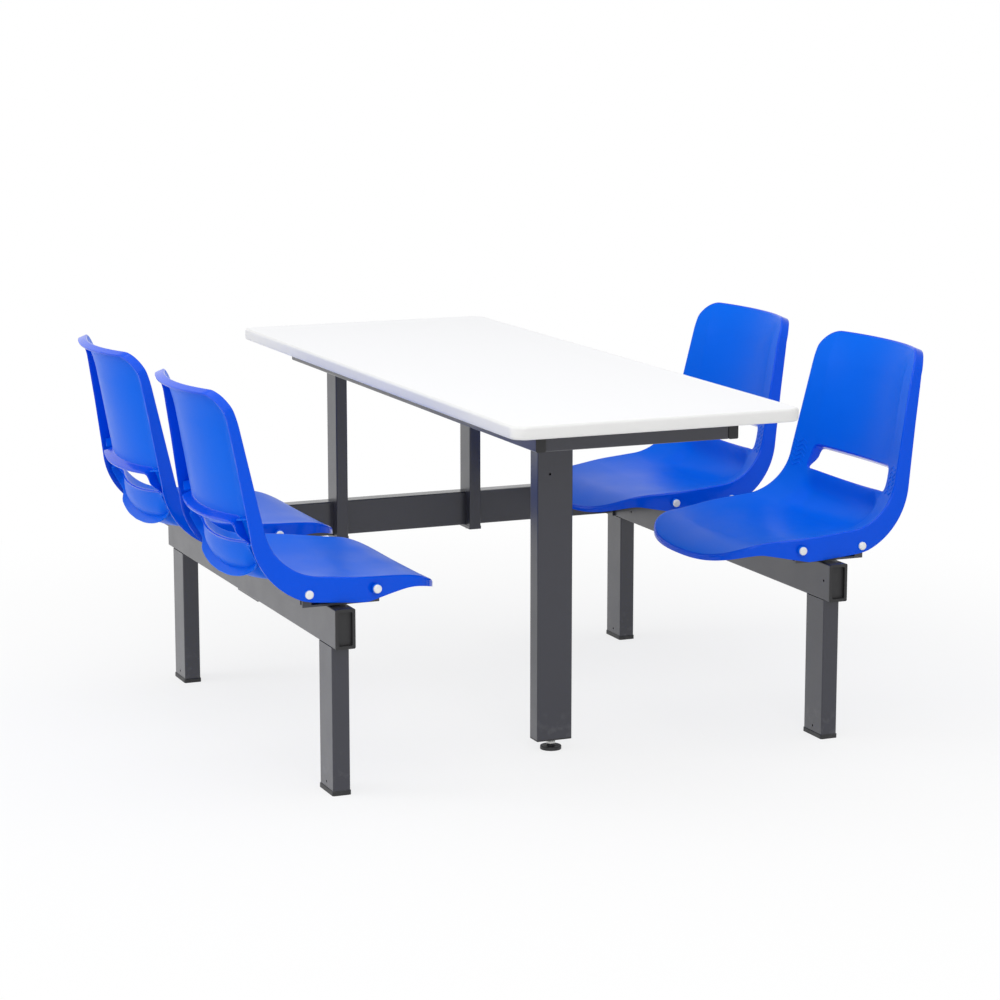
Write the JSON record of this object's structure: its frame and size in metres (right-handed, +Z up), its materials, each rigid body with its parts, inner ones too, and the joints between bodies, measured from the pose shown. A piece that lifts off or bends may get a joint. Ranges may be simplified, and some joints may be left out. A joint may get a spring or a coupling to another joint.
{
  "type": "canteen table with swivel seats",
  "caption": "Rectangular white-topped canteen table on a charcoal steel tube frame, with blue moulded swivel seats on bench beams along both long sides and a cross beam at one end",
  "frame": {"origin": "on the floor, below the middle of the table top", "axes": "+X from the left bench to the right bench, +Y along the table from the open end to the closed end, +Z up"},
  "size_m": [1.5894, 1.58, 0.7955],
  "materials": {
    "white_laminate": "smooth white laminate",
    "edge_plastic": "soft white edge band",
    "board_core": "chipboard core",
    "coated_steel": "charcoal powder coat, fine texture",
    "zinc_steel": "zinc plated",
    "black_plastic": "black moulded plastic",
    "nylon": "natural nylon",
    "blue_plastic": "moulded polypropylene, satin gloss",
    "white_plastic": "white snap cap"
  },
  "bodies": {
    "frame": {"beam_plugs": "black_plastic", "bench_beam_left": "coated_steel", "bench_beam_right": "coated_steel", "clamp_plates": "coated_steel", "clamp_screws": "zinc_steel", "cross_beam": "coated_steel", "cross_beam_bolts": "zinc_steel", "cross_beam_end_plates": "coated_steel", "cross_beam_rivet_nuts": "zinc_steel", "edge_band": "edge_plastic", "far_bar": "coated_steel", "foot_caps": "black_plastic", "front_leg": "coated_steel", "leg_insert": "black_plastic", "leg_plate_screws": "zinc_steel", "leg_top_plate": "coated_steel", "mid_plates": "coated_steel", "near_bar": "coated_steel", "pivot_nuts": "zinc_steel", "pivot_studs": "zinc_steel", "post_far_left": "coated_steel", "post_far_right": "coated_steel", "post_near_left": "coated_steel", "post_near_right": "coated_steel", "rail_left": "coated_steel", "rail_plugs": "black_plastic", "rail_right": "coated_steel", "rail_screws": "zinc_steel", "stop_pins": "zinc_steel", "table_board": "board_core", "table_laminate": "white_laminate", "thrust_washers": "nylon", "upright_left": "coated_steel", "upright_plate_screws": "zinc_steel", "upright_right": "coated_steel", "upright_top_plates": "coated_steel"},
    "seat_near_left": {"pivot_bush_near_left": "nylon", "seat_bracket_near_left": "coated_steel", "seat_screws_near_left": "zinc_steel", "seat_shell_near_left": "blue_plastic", "white_caps_near_left": "white_plastic"},
    "seat_far_left": {"pivot_bush_far_left": "nylon", "seat_bracket_far_left": "coated_steel", "seat_screws_far_left": "zinc_steel", "seat_shell_far_left": "blue_plastic", "white_caps_far_left": "white_plastic"},
    "seat_near_right": {"pivot_bush_near_right": "nylon", "seat_bracket_near_right": "coated_steel", "seat_screws_near_right": "zinc_steel", "seat_shell_near_right": "blue_plastic", "white_caps_near_right": "white_plastic"},
    "seat_far_right": {"pivot_bush_far_right": "nylon", "seat_bracket_far_right": "coated_steel", "seat_screws_far_right": "zinc_steel", "seat_shell_far_right": "blue_plastic", "white_caps_far_right": "white_plastic"},
    "levelling_foot": {"foot_base": "black_plastic"},
    "foot_screw": {"foot_stem": "zinc_steel"}
  },
  "joints": [
    {"name": "swivel_near_left", "type": "hinge", "parent": "frame", "child": "seat_near_left", "pos_m": [-0.5278, -0.2742, 0.36865], "axis": [0, 0, 1], "range_deg": [-30, 30]},
    {"name": "swivel_far_left", "type": "hinge", "parent": "frame", "child": "seat_far_left", "pos_m": [-0.5278, 0.2962, 0.36865], "axis": [0, 0, 1], "range_deg": [-30, 30]},
    {"name": "swivel_near_right", "type": "hinge", "parent": "frame", "child": "seat_near_right", "pos_m": [0.5278, -0.2742, 0.36865], "axis": [0, 0, 1], "range_deg": [-30, 30]},
    {"name": "swivel_far_right", "type": "hinge", "parent": "frame", "child": "seat_far_right", "pos_m": [0.5278, 0.2962, 0.36865], "axis": [0, 0, 1], "range_deg": [-30, 30]},
    {"name": "foot_height", "type": "slide", "parent": "frame", "child": "levelling_foot", "axis": [0, 0, 1], "range_m": [-0.015, 0.005]},
    {"name": "foot_turn", "type": "hinge", "parent": "levelling_foot", "child": "foot_screw", "pos_m": [-0.028, -0.3525, 0.015], "axis": [0, 0, 1], "range_deg": [-3601, 1201]}
  ],
  "couplings": [
    {"joint": "foot_turn", "follows": "foot_height", "rad_per_m": 4188.8}
  ]
}
